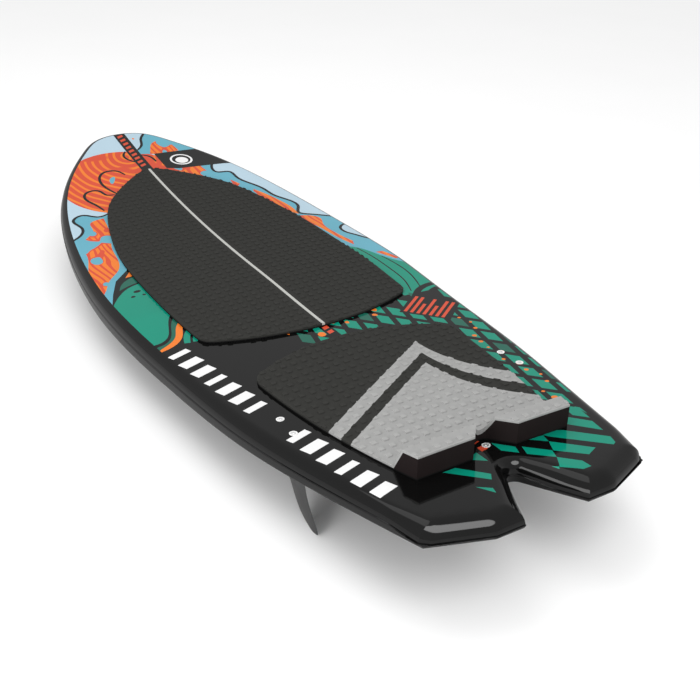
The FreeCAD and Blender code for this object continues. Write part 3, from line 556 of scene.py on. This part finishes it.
def deck_print():
    """The shapes printed on the deck, the first at the bottom, as (ink, outline)."""
    far = HALF_WIDTH
    out = []

    def add(name, *outlines):
        out.extend((name, outline) for outline in outlines)

    # pale blue over the nose and both shoulders
    add("sky", [(-far, 280), (0, 280), (0, 60), (far, 60), (far, 730), (-far, 730)])
    # teal and its marbled strip down the left side
    shore = [(-128, 398), (-158, 390), (-182, 408), (-202, 396), (-198, 362), (-214, 330), (-236, 318),
             (-262, 300)]
    add("teal", smooth(shore) + [(-262, 20), (-251, 58), (-236, 96), (-216, 138), (-178, 176), (-120, 260)])
    add("marble", smooth([(-150, 380), (-178, 372), (-184, 340), (-204, 318), (-222, 286), (-226, 250),
                          (-240, 205), (-250, 150), (-248, 104)])
        + smooth([(-240, 116), (-222, 148), (-200, 172), (-186, 205), (-178, 260), (-160, 310)]))
    add("black", stroke(shore, 4.5))
    add("amber", [(-198, 142), (-178, 168), (-176, 142)])
    # green panel on the left, edged by curved bands
    add("pine", smooth([(-223, 102), (-210, 124), (-195, 135), (-176, 142)])
        + smooth([(-176, 116), (-196, 113), (-223, 102)]))
    add("green", smooth([(-262, 36), (-246, 62), (-226, 88), (-206, 104), (-176, 112)])
        + smooth([(-176, -6), (-194, -34), (-207, -66), (-222, -90), (-238, -96), (-262, -84)]))
    add("black", blob([(-206, 84), (-199, 89), (-193, 85), (-200, 80)]),
        blob([(-216, 69), (-211, 73), (-208, 69), (-212, 66)]),
        blob([(-197, 68), (-194, 71), (-191, 68), (-194, 65)]))
    add("pine", stroke([(-172, -22), (-191, -50), (-203, -80), (-220, -103), (-240, -109), (-262, -104)],
                       8, 0.1))
    add("amber", stroke([(-176, -44), (-190, -66), (-203, -94), (-218, -108), (-246, -119)], 8.5, 0.7))
    add("green", stroke([(-172, -74), (-188, -92), (-198, -116)], 8, 0.1),
        stroke([(-170, -92), (-180, -104), (-186, -118)], 6, 0.1))
    # the big sun on the nose
    add("flow", disc(-56, 500, 130))
    add("black", stroke([(-92, 462), (-104, 500), (-102, 534), (-84, 556), (-62, 554), (-50, 532)], 4.5),
        stroke([(-138, 408), (-146, 440), (-154, 470), (-140, 492), (-120, 488), (-112, 466), (-98, 462)],
               4.5),
        stroke([(-14, 624), (-24, 606), (-20, 588), (-10, 574)], 4),
        stroke([(12, 600), (24, 590), (29, 564)], 4))
    add("teal", blob([(-86, 505), (-82, 528), (-74, 532), (-80, 512)]))
    # right side of the nose
    crest = [(12, 622), (28, 640), (36, 664), (50, 684), (66, 702)]
    add("teal", smooth(crest) + [(140, 700), (200, 590), (120, 592), (38, 596), (12, 604)])
    add("marble", smooth([(30, 598), (40, 622), (58, 646), (76, 646), (88, 626), (92, 596)]) + [(60, 592)])
    add("black", stroke(crest, 4.5))
    add("amber", blob([(22, 697), (25, 702), (28, 698), (26, 693)]),
        blob([(19, 671), (22, 674), (24, 670), (21, 667)]))
    # marbled and teal strips along the right of the front pad, with a wavy shore
    strand = [(136, 524), (124, 500), (126, 482), (150, 476), (154, 450), (166, 414), (180, 382),
              (186, 346), (202, 314), (206, 284), (192, 252), (212, 236), (238, 218), (262, 206)]
    add("teal", smooth(strand) + [(262, -60), (190, 60), (170, 300), (100, 480), (96, 524)])
    add("marble", smooth([(106, 524), (110, 492), (132, 450), (150, 408), (168, 370), (184, 322),
                          (191, 280), (188, 246)]) + [(160, 300), (90, 470), (50, 524)])
    add("marble", smooth([(186, 240), (206, 232), (216, 216), (208, 190), (206, 150), (214, 100),
                          (226, 62), (238, 30), (250, -6)])
        + smooth([(242, -8), (230, 20), (216, 54), (204, 96), (197, 140), (192, 180), (180, 214)]))
    bay = [(262, 176), (242, 172), (228, 160), (226, 138), (236, 118), (248, 96), (262, 84)]
    add("sky", smooth(bay))
    add("black", stroke(strand, 5.0, 0.1), stroke(bay, 4.5, 0.1))
    # green panel on the right with two fine lines
    add("green", smooth([(176, 84), (200, 70), (216, 42), (228, 6), (244, -22), (270, -46)])
        + [(270, -142), (170, -142)])
    add("black", stroke([(204, 62), (208, 20), (208, -40), (204, -90), (190, -132)], 2.2),
        stroke([(224, 12), (229, -30), (227, -76), (214, -122)], 2.2))
    # lattice of slanted cells behind the front pad and down the right side
    field = [(-64, -146), (100, -150), (180, -158), (262, -128), (262, -300), (226, -430), (192, -530),
             (160, -572), (128, -560), (120, -400), (90, -230), (-44, -222)]
    down, across = np.array((-8.5, -40.0)), np.array((22.0, -25.0))
    for row in range(-8, 16):
        for column in range(-14, 12):
            middle = np.array((190.0, -262.0)) + down * row + across * column
            if not inside(field, np.array([middle]))[0]:
                continue
            a, b = down * 0.36, across * 0.33
            add("pine" if (3 * row + 5 * column) % 11 == 0 else "green",
                [tuple(middle - a - b), tuple(middle + a - b), tuple(middle + a + b), tuple(middle - a + b)])
    add("black", stroke([(186, -150), (206, -132), (232, -122), (262, -122)], 9, 0),
        stroke([(196, -172), (214, -150), (238, -138), (262, -138)], 7, 0))
    add("amber", [(-78, -150), (-50, -158), (-58, -174)], [(14, -166), (54, -154), (52, -163), (16, -176)],
        blob([(-22, -196), (-14, -190), (-10, -200), (-18, -204)]),
        blob([(92, -160), (100, -158), (98, -170)]), blob([(34, -180), (40, -178), (38, -186)]),
        blob([(84, -180), (89, -176), (92, -184)]))
    rng = random.Random(7)
    for k in range(15):
        y = -250 - 21 * k
        x = 206 + 0.16 * (y + 250) + rng.uniform(-16, 14)
        r = rng.uniform(2.2, 5.0)
        fleck = [(x - r, y), (x - 0.2 * r, y + r), (x + r * 1.2, y + 0.3 * r), (x + 0.4 * r, y - r)]
        add("amber", blob(fleck, 3.0))
    # a hatched block of coral bars
    add("black", [(128, -190), (190, -140), (240, -200), (184, -250)])
    u, v = np.array((49.0, 38.0)), np.array((44.0, -50.0))
    for k in range(7):
        a = np.array((136.0, -190.0)) + v * k / 6.6
        b = a + u * (0.62 if k in (2, 4) else 1.0)
        c = v / math.hypot(*v) * 5.2
        add("coral", [tuple(a), tuple(a + c), tuple(b + c), tuple(b)])
    # slanted green bands on both sides of the tail
    add("green", [(138, -545), (152, -549), (153, -577), (136, -556)],
        [(112, -540), (131, -571), (153, -598), (148, -623), (118, -586), (96, -550)],
        [(62, -572), (105, -597), (144, -640), (139, -654), (133, -657), (80, -601)],
        [(71, -609), (109, -651), (91, -659), (61, -629)],
        [(54, -643), (74, -666), (74, -681), (62, -681), (43, -661)],
        [(50, -590), (75, -594), (71, -609)], [(35, -601), (60, -628), (54, -643), (29, -618)],
        [(9, -574), (28, -597), (23, -611), (8, -595)], [(30, -647), (43, -660), (39, -666)],
        [(160, -556), (165, -562), (162, -580)])
    add("green", [(-80, -596), (-62, -596), (-35, -630), (-42, -640)],
        [(-38, -590), (-28, -585), (-20, -582), (-20, -605)], [(-67, -642), (-52, -655), (-55, -665)])
    # centre band with plain marks
    add("black", [(-12, 505), (12, 505), (12, 730), (-12, 730)],
        [(-9, -215), (9, -215), (9, -140), (-9, -140)],
        [(-14, -592), (6, -592), (6, -540), (-14, -540)])
    for k in range(10):
        y = 552 + 16 * k
        add("coral", [(-7, y), (5, y + 5), (5, y + 13), (-7, y + 8)])
    for k in range(3):
        y = -202 + 15 * k
        add("coral", [(-5, y), (5, y + 3), (5, y + 12), (-5, y + 9)])
    add("coral", [(-12, -566), (-1, -563), (-1, -552), (-12, -555)],
        [(-13, -584), (-2, -582), (-2, -572), (-13, -574)])
    # black panel on the right of the nose with a plain ring
    add("black", [(38, 597), (122, 593), (200, 590), (240, 500), (158, 514), (62, 521), (38, 530)])
    add("white", disc(81, 557, 23))
    add("black", disc(81, 557, 19))
    add("white", disc(81, 554, 13))
    # plain bars along the left rail
    start, end = np.array((-221.0, -140.0)), np.array((-158.0, -586.0))
    for k in range(15):
        if k in (7, 8):
            continue
        spot = start + (end - start) * k / 14
        add("white", bar(spot[0], spot[1], 33.0, 17.0 if k % 3 else 11.0, 0.28))
    return out


# ---- the shell ----

TAIL_TURN_Y, TAIL_TURN_LENGTH = -612.0, 70.0    # where the roll-over starts to change, and over what length
TAIL_ROUND_EXTRA = 6.0      # how much taller the roll-over is at the tail
SIDE_LEFT, TAIL_SIDE_LEFT = 5.0, 1.5            # what it leaves of the side, at least
LIP_TOP, LIP_EDGE, LIP_DEPTH = 1.2, 0.3, 0.5    # the deck's upright lip, and how both edges turn in
CUP_BORE, CUP_FLANGE = 4.9, 5.5
EDGE_WIDTH = 0.8            # how far in the rounded cut edge of a pad reaches
CORNERS = ((-1, -1), (1, -1), (1, 1), (-1, 1))


def tail_share(y):
    """0 along the rails, rising smoothly to 1 at the tail."""
    t = np.clip((TAIL_TURN_Y - y) / TAIL_TURN_LENGTH, 0, 1)
    return t * t * (3 - 2 * t)


def parting_share(y):
    return PARTING_SHARE + (TAIL_PARTING_SHARE - PARTING_SHARE) * tail_share(y)


def lip_height(y):
    """The parting line's height."""
    return bottom_height(y) + parting_share(y) * thickness(y)


def round_height(y):
    """How tall the deck's roll-over is."""
    tallest = ROUND_WIDTH + TAIL_ROUND_EXTRA * tail_share(y)
    room = (1 - parting_share(y)) * thickness(y) - SIDE_LEFT + (SIDE_LEFT - TAIL_SIDE_LEFT) * tail_share(y)
    return np.minimum(tallest, room)


def deck_surface(x, y, edge):
    """Height of the deck, rolled over near the rail. edge is the distance to it."""
    width = ROUND_WIDTH + (TAIL_ROUND_WIDTH - ROUND_WIDTH) * tail_share(y)
    share = np.clip((width - edge) / (width - WAIST), 0, 1)
    return deck_height(x, y) - round_height(y) * (1 - np.sqrt(1 - share ** 2))


def screw_spots():
    """Plan centres of the five deck cups."""
    spots = []
    for side in ("left", "right"):
        low, high = corners_mm(side + "_deck_cups")
        across = 0.5 * (low[0] + high[0])
        lean = (high[0] - low[0] - 2 * CUP_FLANGE) / 2 * (-1 if side == "left" else 1)
        spots += [(across - lean, high[1] - CUP_FLANGE), (across + lean, low[1] + CUP_FLANGE)]
    low, high = corners_mm("centre_deck_cups")
    return spots + [((low[0] + high[0]) / 2, (low[1] + high[1]) / 2)]


def ring_place(ring, point):
    """Which segment of a ring a point lies on, and how far along."""
    a = np.array(ring)
    b = np.roll(a, -1, axis=0) - a
    rel = np.array(point) - a
    t = np.clip((rel * b).sum(axis=1) / (b * b).sum(axis=1), 0, 1)
    gap = rel - t[:, None] * b
    i = int((gap * gap).sum(axis=1).argmin())
    return i, float(t[i])


def shell_rows(faces, verts, edge, rings, rows):
    """Hang rows of quads from the outer rim, which runs along edge. Each ring has its height in rows."""
    above = max(rim_loops(faces), key=len)
    places = [ring_place(edge, verts[i][:2]) for i in above]
    for ring, height in zip(rings, rows):
        below = []
        for i, t in places:
            p = np.array(ring[i]) * (1 - t) + np.array(ring[(i + 1) % len(ring)]) * t
            below.append(len(verts))
            verts.append((p[0], p[1], float(height(p[0], p[1]))))
        count = len(above)
        for k in range(count):
            n = (k + 1) % count
            faces.append((above[k], above[n], below[n], below[k]))
        above = below


def between(share, first, second):
    return (1 - share) * first + share * second


def close_shell(piece, depth):
    """Give an open skin its real thickness."""
    solid = piece.modifiers.new("laminate", "SOLIDIFY")
    solid.thickness = depth / METRE
    solid.offset = -1.0
    solid.use_rim = True


def deck_piece():
    ring = inset(OUTLINE, ART_INSET)
    prints = deck_print()
    cup_holes = [disc(x, y, CUP_BORE, 20) for x, y in screw_spots()]
    inner = [inset(OUTLINE, d) for d in (16.0, ROUND_WIDTH, 20.5, 23.5)]

    def keep(c):
        kept = inside(ring, c)
        for hole in cup_holes:
            kept &= ~inside(hole, c)
        return kept

    dots = dots_within(ring, 9.0, OUTLINE)
    dots = dots[distance_to(OUTLINE, dots) > TAIL_ROUND_WIDTH]
    plan, faces = cut_plan([ring] + inner + cup_holes + [outline for _, outline in prints], keep, (), dots)
    centres = plan[faces].mean(axis=1)
    face_ink = np.zeros(len(faces), int)
    for name, outline in prints:
        face_ink[inside(outline, centres)] = INK_NUMBER[name]
    edge = distance_to(OUTLINE, plan)
    height = deck_surface(plan[:, 0], plan[:, 1], edge)
    verts = [(x, y, z) for (x, y), z in zip(plan, height)]
    faces = [tuple(f) for f in faces]
    rings, rows = [], []
    # the roll-over, from the edge of the print down to the side
    for angle in (22, 31, 40, 50, 60, 70, 80, 90):
        distance = WAIST + (ROUND_WIDTH - WAIST) * (1 - math.sin(math.radians(angle)))
        rings.append(inset(OUTLINE, distance))
        rows.append(lambda x, y, d=distance: deck_surface(x, y, d))
    # the side: shares of the way down to the lip and of the waist's depth
    for share, waist in ((0.3, 1.0), (0.55, 0.8), (0.78, 0.4), (0.93, 0.06), (1.0, 0.0)):
        rings.append(inset(OUTLINE, waist * WAIST))
        rows.append(lambda x, y, s=share: between(s, deck_height(x, y) - round_height(y),
                                                  lip_height(y) + LIP_TOP))
    rings.append(OUTLINE)
    rows.append(lambda x, y: lip_height(y) + LIP_EDGE)
    rings.append(inset(OUTLINE, LIP_DEPTH))
    rows.append(lambda x, y: lip_height(y))
    shell_rows(faces, verts, ring, rings, rows)
    face_ink = list(face_ink) + [INK_NUMBER["black"]] * (len(faces) - len(face_ink))
    piece = make_piece("deck_shell", verts, faces, list(INKS.values()), face_ink, 26.0,
                       ("deck_skin",))
    close_shell(piece, SKIN)
    return piece


def core_piece():
    """The foam core: inside both skins, following the deck's roll-over."""
    gap, wall = SKIN + 2.0, 9.0
    rings = [inset(OUTLINE, d) for d in (wall, 11.0, 14.0, ROUND_WIDTH)]
    dots = dots_within(rings[0], 16.0, inset(OUTLINE, ROUND_WIDTH + 4.0))
    plan, faces = cut_plan(rings, lambda c: inside(rings[0], c), (), dots)
    x, y = plan[:, 0], plan[:, 1]
    upper = deck_surface(x, y, distance_to(OUTLINE, plan)) - gap
    lower = bottom_height(y) + gap
    verts, solid = slab(plan, faces, upper, lower)
    return make_piece("core_foam_body", verts, solid, [foam("foam_core", "e6e1d0", 2.0)], None,
                      30.0, ("foam_core",))


def slab(plan, faces, upper, lower):
    """Corners and faces of a solid between two heights over a plan."""
    count = len(plan)
    verts = [(a, b, c) for (a, b), c in zip(plan, upper)] + [(a, b, c) for (a, b), c in zip(plan, lower)]
    solid = [tuple(f) for f in faces] + [tuple(int(i) + count for i in reversed(f)) for f in faces]
    for rim in rim_loops(faces):
        for k, a in enumerate(rim):
            b = rim[(k + 1) % len(rim)]
            solid.append((b, a, a + count, b + count))
    return verts, solid


def bottom_piece():
    flat = BOTTOM_ROUND + TUCK
    ring = inset(OUTLINE, flat)
    dots = dots_within(ring, 14.0, inset(OUTLINE, flat + 5.0))
    plan, faces = cut_plan([ring], lambda c: inside(ring, c), (), dots)
    verts = [(x, y, float(bottom_height(y))) for x, y in plan]
    faces = [tuple(f) for f in faces]
    rings, rows = [], []
    for angle in (22.5, 45, 67.5, 90):
        distance = TUCK + BOTTOM_ROUND * (1 - math.sin(math.radians(angle)))
        rise = BOTTOM_ROUND * (1 - math.cos(math.radians(angle)))
        rings.append(inset(OUTLINE, distance))
        rows.append(lambda x, y, r=rise: bottom_height(y) + r)
    for share, lean in ((0.5, 0.45), (0.85, 0.1), (1.0, 0.0)):
        rings.append(inset(OUTLINE, lean * TUCK))
        rows.append(lambda x, y, s=share: between(s, bottom_height(y) + BOTTOM_ROUND,
                                                  lip_height(y) - LIP_EDGE))
    rings.append(inset(OUTLINE, LIP_DEPTH))
    rows.append(lambda x, y: lip_height(y))
    shell_rows(faces, verts, ring, rings, rows)
    piece = make_piece("bottom_shell", verts, faces, [INKS["black"]], None, 26.0,
                       ("bottom_skin",))
    close_shell(piece, SKIN)
    return piece


# ---- traction pads ----

SQUARE = 8.2                # foot of a raised square
DRAFT = 0.7                 # how far its sides lean
RELIEF = 1.5                # how high it stands
EDGE_DROP = 0.5             # the cut edge of the pad is rounded down by this
FRONT_PITCH, REAR_PITCH = (16.0, 16.0), (16.6, 17.0)
REAR_SQUARE = (0.0, -416.0)             # the middle of one square of the rear pad
FRONT_LOW, FRONT_HIGH = corners_mm("front_pad_base")
REAR_LOW, REAR_HIGH = corners_mm("rear_pad_base")
STRIPE_HALF = corners_mm("front_pad_stripe")[1][0]
FRONT_HALF_WIDTH = 187.0
FRONT_SIDE = [
    (0.038, 0.25), (0.106, 0.50), (0.162, 0.65), (0.224, 0.755), (0.339, 0.875),
    (0.477, 0.965), (0.650, 1.0), (0.848, 1.0), (1.0, 0.965),
]
REAR_CORNER = (166.0, REAR_HIGH[1] - 48.0)
REAR_TAIL_X, SIDE_BULGE = 115.0, 9.0
NOTCH_MOUTH, NOTCH_LENGTH, NOTCH_ROUND = 33.0, 32.0, 14.0
CORNER_ROUND = 12.0
CREST_Y = REAR_LOW[1] + 24.0
RAMP_FOOT_Y = CREST_Y + 13.0
FRONT_CORNER_RISE = 45.0    # the front pad's rear corners, ahead of its rear end
FIRST_SQUARE_X = 15.0       # the front pad's first row of squares beside its stripe
PAST_ENDS, PAST_SIDES = 900.0, 400.0            # cutting lines end this far out, beyond the pads
# The chevron lines of the rear pad: the first one's point and side, how its swept arm ends and bends,
# and how far the three lines lie behind the first and towards the centre.
TAIL_END = REAR_LOW[1] - 118.0
CHEVRON_APEX = (87.0, TAIL_END + 416.0)
CHEVRON_SIDE = (REAR_CORNER[0] - 20.0, TAIL_END + 267.0)
ARM_RISE, ARM_BEND_RUN, ARM_BEND_DROP = 8.0, 0.33, 0.56
CHEVRONS = ((0.0, 0.0), (34.0, 12.5), (62.0, 25.0))
PAST_LEFT, PAST_RIGHT, PAST_TAIL = 200.0, 150.0, 200.0


def front_outline():
    front, rear = FRONT_HIGH[1], FRONT_LOW[1]
    corner_y = rear + FRONT_CORNER_RISE
    side = [(across * FRONT_HALF_WIDTH, front + along * (corner_y - front)) for along, across in FRONT_SIDE]
    curve = smooth(list(reversed(side)) + [(0.0, front)] + [(-x, y) for x, y in side], 6.0)
    tail = arc((-side[-1][0], corner_y), (0.0, rear), (side[-1][0], corner_y), 48)
    return round_corners(curve + tail[1:-1], side[-1], CORNER_ROUND)


def rear_outline():
    front, rear = REAR_HIGH[1], REAR_LOW[1]
    tail = (REAR_TAIL_X, rear)
    belly = ((REAR_CORNER[0] + tail[0]) / 2 + SIDE_BULGE, (REAR_CORNER[1] + rear) / 2)
    centre_y = rear + NOTCH_LENGTH - NOTCH_ROUND
    distance = math.hypot(NOTCH_MOUTH, rear - centre_y)
    bearing = math.atan2(rear - centre_y, NOTCH_MOUTH) + math.acos(NOTCH_ROUND / distance)
    touch = (NOTCH_ROUND * math.cos(bearing), centre_y + NOTCH_ROUND * math.sin(bearing))
    notch = arc((-touch[0], touch[1]), (0, centre_y + NOTCH_ROUND), touch, 14)
    right = arc(tail, belly, REAR_CORNER, 30)
    front_arc = arc(REAR_CORNER, (0, front), (-REAR_CORNER[0], REAR_CORNER[1]), 40)
    loop = right + front_arc[1:] + flipped(right)[1:] + [(-NOTCH_MOUTH, rear)] + notch + [(NOTCH_MOUTH, rear)]
    return round_corners(loop, REAR_CORNER, CORNER_ROUND)


def kick_rise(y, foot, crest, low, high):
    """Height above the deck: low ahead of the ramp's foot, high behind its crest."""
    return low + (high - low) * np.clip((foot - y) / (foot - crest), 0, 1)


# The ramp's run and climb, and its underside, one layer of foam below its top.
RUN, CLIMB = RAMP_FOOT_Y - CREST_Y, KICK_TOP - PAD_BASE - PAD_TOP
SHIFT = PAD_TOP * math.hypot(RUN, CLIMB) / CLIMB
SLOPE = RUN / CLIMB
UNDER_FOOT_Y = RAMP_FOOT_Y - SHIFT + PAD_TOP * SLOPE
UNDER_CREST_Y = CREST_Y - SHIFT + PAD_TOP * SLOPE


def behind_chevron(back, across):
    """Outline of everything behind a chevron line: straight on the left, swept back on the right."""
    apex = np.array((CHEVRON_APEX[0] - across, CHEVRON_APEX[1] - back))
    side_x, side_y = CHEVRON_SIDE[0] - across, CHEVRON_SIDE[1] - back
    left = np.array((-side_x - 2 * across, side_y))
    far_left = left + (left - apex) / math.dist(left, apex) * PAST_LEFT
    end = (side_x, side_y + ARM_RISE)
    middle = (apex[0] + ARM_BEND_RUN * (end[0] - apex[0]), apex[1] - ARM_BEND_DROP * (apex[1] - side_y))
    arm = arc(tuple(apex), middle, end, 24)
    onward = np.array(arm[-1]) - np.array(arm[-2])
    far_right = np.array(end) + onward / math.hypot(*onward) * PAST_RIGHT
    far_y = TAIL_END - PAST_TAIL
    return arm + [tuple(far_right), (far_right[0], far_y), (far_left[0], far_y), tuple(far_left)]


class Squares:
    """A grid of raised squares: where they are, and how high the surface stands at a point."""

    def __init__(self, centre, pitch, clear=()):
        self.centre, self.pitch, self.clear = centre, pitch, clear

    def middles(self, axis, low, high):
        centre, pitch = self.centre[axis], self.pitch[axis]
        first, last = math.floor((low[axis] - centre) / pitch), math.ceil((high[axis] - centre) / pitch)
        return [centre + k * pitch for k in range(first, last + 1)]

    def loops(self, low, high):
        out = []
        for y in self.middles(1, low, high):
            if any(start < y < end for start, end in self.clear):
                continue
            for x in self.middles(0, low, high):
                for half in (SQUARE / 2, SQUARE / 2 - DRAFT):
                    out.append([(x + half * i, y + half * j) for i, j in CORNERS])
        return out

    def height(self, x, y):
        u = (x - self.centre[0]) / self.pitch[0]
        v = (y - self.centre[1]) / self.pitch[1]
        row_y = np.round(v) * self.pitch[1] + self.centre[1]
        reach = np.maximum(np.abs(u - np.round(u)) * self.pitch[0], np.abs(v - np.round(v)) * self.pitch[1])
        lift = RELIEF * np.clip((SQUARE / 2 - reach) / DRAFT, 0, 1)
        for start, end in self.clear:
            lift = np.where((row_y > start) & (row_y < end), 0.0, lift)
        return lift


def pad_piece(name, loops, keep, top, under, squares, material, lines=(), step=14.0, drop=EDGE_DROP):
    """A layer of pad foam that follows the deck, between two heights above it."""
    low, high = extent(loops[0])
    cuts = list(loops)
    if squares:
        cuts += squares.loops(low, high)
    plan, faces = cut_plan(cuts, keep, lines, grid_dots(low, high, step) if not squares else ())
    x, y = plan[:, 0], plan[:, 1]
    upper = deck_height(x, y) + top(y)
    if squares:
        upper = upper + squares.height(x, y)
    on_rim = sorted({i for rim in rim_loops(faces) for i in rim})
    upper[on_rim] -= drop
    verts, solid = slab(plan, faces, upper, deck_height(x, y) + under(y))
    piece = make_piece(name, verts, solid, [material], None, 18.0, (name.replace("_foam", ""),))
    return piece


def level(height):
    return lambda y: np.full_like(y, height)


def front_pad():
    loop = front_outline()
    dark, base = foam("foam_dark", "2e2e2c"), foam("foam_base", "0d0d0d")
    light = foam("foam_stripe", "aaaaa6")
    split = [[(side * STRIPE_HALF, -PAST_ENDS), (side * STRIPE_HALF, PAST_ENDS)] for side in (-1, 1)]
    cuts = [loop, inset(loop, EDGE_WIDTH)]
    top, under = level(PAD_BASE + PAD_TOP), level(PAD_BASE)
    pad_piece("front_pad_base_foam", [loop], lambda c: inside(loop, c), under, level(0.0), None, base,
              drop=0.0)
    for side, sign in (("left", -1), ("right", 1)):
        squares = Squares((sign * FIRST_SQUARE_X, 0.0), FRONT_PITCH)
        pad_piece("front_pad_" + side + "_foam", cuts,
                  lambda c: inside(loop, c) & (sign * c[:, 0] > STRIPE_HALF),
                  top, under, squares, dark, split)
    pad_piece("front_pad_stripe_foam", cuts, lambda c: inside(loop, c) & (np.abs(c[:, 0]) < STRIPE_HALF),
              top, under, None, light, split, 10.0, 0.0)


def rear_pad():
    loop = rear_outline()
    dark, light = bpy.data.materials["foam_dark"], foam("foam_light", "949493")
    base, black = bpy.data.materials["foam_base"], foam("foam_kick", "1b1515", 1.5)
    clear = ((UNDER_CREST_Y - 1.0, RAMP_FOOT_Y + SQUARE / 2 + 1.0),)
    squares = Squares(REAR_SQUARE, REAR_PITCH, clear)
    full = PAD_BASE + PAD_TOP
    first, second, third = [behind_chevron(back, across) for back, across in CHEVRONS]
    cuts = [loop, inset(loop, EDGE_WIDTH), first, second, third]
    ramp_lines = (RAMP_FOOT_Y, CREST_Y, UNDER_FOOT_Y, UNDER_CREST_Y)
    breaks = [[(-PAST_SIDES, at), (PAST_SIDES, at)] for at in ramp_lines]

    def top(y):
        return kick_rise(y, RAMP_FOOT_Y, CREST_Y, full, KICK_TOP)

    def under(y):
        return kick_rise(y, UNDER_FOOT_Y, UNDER_CREST_Y, PAD_BASE, KICK_TOP - PAD_TOP)

    pad_piece("rear_pad_base_foam", [loop], lambda c: inside(loop, c), level(PAD_BASE), level(0.0), None,
              base, drop=0.0)
    bands = (("front", loop, first, dark, "pad_dark_foam"),
             ("light_stripe", first, second, light, "pad_light_foam"),
             ("dark_stripe", second, third, dark, "pad_dark_foam"))
    for name, start, end, material, slot in bands:
        pad_piece("rear_pad_" + name + "_foam", cuts,
                  lambda c: inside(loop, c) & inside(start, c) & ~inside(end, c),
                  level(full), level(PAD_BASE), squares, material, drop=0.2)
    pad_piece("rear_pad_tail_foam", cuts, lambda c: inside(loop, c) & inside(third, c), top, under, squares,
              light, breaks, drop=0.3)
    pad_piece("kick_block_foam", [loop], lambda c: inside(loop, c) & (c[:, 1] < UNDER_FOOT_Y), under,
              level(PAD_BASE), None, black, breaks, 12.0, 0.0)


# ---- the pieces that stay as packed ----

def dress(part, material):
    for side in ("left", "right", "centre"):
        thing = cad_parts[side + part]
        thing.data.materials.clear()
        thing.data.materials.append(material)


def dress_hardware():
    dress("_fin", plastic("fin_nylon", "232323", 0.42, 0.12))
    dress("_deck_cups", plastic("cup_nylon", "f0f0ef", 0.25, 0.02, 0.4))
    dress("_screw_sleeves", plastic("sleeve_nylon", "dcdcd6", 0.45))
    dress("_fin_screws", turned_metal("screw_steel", "e2e2e2", 0.42))
    dress("_fin_inserts", turned_metal("insert_brass", "c79a4a", 0.3))
    dress("_fin_block", foam("block_foam", "b89b6c", 2.0))


# ---- stage ----

def aim(thing, look, up):
    back = -Vector(look).normalized()
    right = Vector(up).cross(back).normalized()
    above = back.cross(right)
    turn = Matrix((right, above, back)).transposed()
    thing.matrix_world = Matrix.Translation(thing.location) @ turn.to_4x4()


def area_light(name, place, target, size, power):
    lamp = bpy.data.lights.new(name, "AREA")
    lamp.shape = "DISK"
    lamp.size = size
    lamp.energy = power
    thing = add_object(name, lamp)
    thing.location = place
    aim(thing, Vector(target) - Vector(place), (0, 1, 0.01))
    return thing


def build_stage():
    material, tree, shader, place = new_material("floor_paint")
    soft = noise(tree, place, 3.0, 2.0)
    tree.links.new(shades(tree, soft, 0.90, 0.92), shader.inputs["Base Color"])
    shader.inputs["Roughness"].default_value = 0.9
    shader.inputs["Specular IOR Level"].default_value = 0.0
    mesh = bpy.data.meshes.new("floor")
    reach = 40.0
    mesh.from_pydata([(reach * i, reach * j, 0) for i, j in CORNERS], [], [(0, 1, 2, 3)])
    mesh.materials.append(material)
    floor = add_object("floor", mesh)

    world = bpy.data.worlds.new("studio")
    world.use_nodes = True
    world.node_tree.nodes["Background"].inputs["Color"].default_value = (1, 1, 1, 1)
    world.node_tree.nodes["Background"].inputs["Strength"].default_value = 0.92
    bpy.context.scene.world = world
    area_light("overhead", (-0.5, 0.5, 2.5), (0, 0, 0.1), 1.8, 14)
    area_light("front", (-0.35, -1.9, 2.3), (0, -0.6, 0.1), 1.6, 16)
    softbox = area_light("softbox", (-0.35, -1.9, 2.35), (0, -0.6, 0.1), 1.9, 70)
    softbox.visible_diffuse = False
    area_light("low_left", (-2.4, -1.3, 0.75), (-0.2, -0.4, 0.0), 1.4, 34)

    camera_data = bpy.data.cameras.new("camera")
    camera_data.sensor_width = 36.0
    camera_data.lens = 53.73
    camera = add_object("camera", camera_data)
    camera.location = (-0.70208, -1.39343, 0.85514)
    aim(camera, (0.457852, 0.743879, -0.486843), (0.239522, 0.424148, 0.873343))
    bpy.context.scene.camera = camera
    bpy.context.scene.view_settings.view_transform = "Standard"


build_stage()
deck_piece()
bottom_piece()
core_piece()
front_pad()
rear_pad()
dress_hardware()
